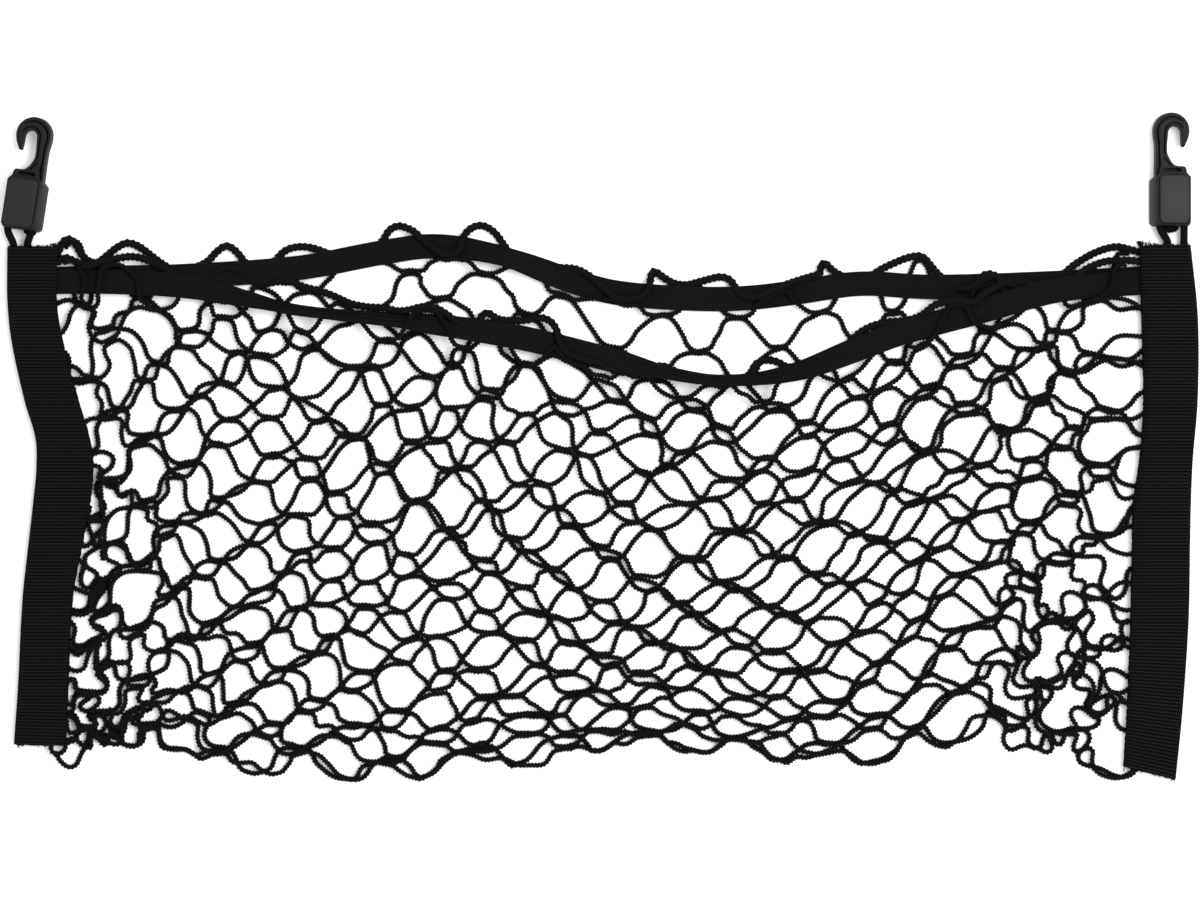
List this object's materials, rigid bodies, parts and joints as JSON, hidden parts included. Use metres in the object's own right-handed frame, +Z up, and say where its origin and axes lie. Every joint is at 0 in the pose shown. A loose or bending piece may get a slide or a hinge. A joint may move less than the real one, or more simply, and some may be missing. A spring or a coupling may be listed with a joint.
{
  "type": "cargo net",
  "caption": "Black envelope cargo net lying flat: a knotless net pocket folded at the bottom, webbing side bindings, elastic mouth bands and a moulded hook on a cord loop at each top corner.",
  "frame": {"origin": "middle of the footprint, on the surface that the net lies on", "axes": "+X to the right along the mouth, +Y from the bottom fold towards the mouth and the hooks, +Z up from the surface, out of the front layer"},
  "size_m": [0.6068, 0.3407, 0.0139],
  "materials": {
    "net_cord": "matte knitted cord",
    "webbing": "ribbed woven webbing",
    "elastic": "flat woven elastic",
    "shock_cord": "braided cover",
    "hook_plastic": "fine satin texture"
  },
  "bodies": {
    "root": {"net": "net_cord", "binding_left": "webbing", "binding_right": "webbing", "band_front": "elastic", "band_back": "elastic", "loop_left": "shock_cord", "loop_right": "shock_cord", "hook_left": "hook_plastic", "hook_right": "hook_plastic", "hook_cover_left": "hook_plastic", "hook_cover_right": "hook_plastic"}
  },
  "joints": []
}
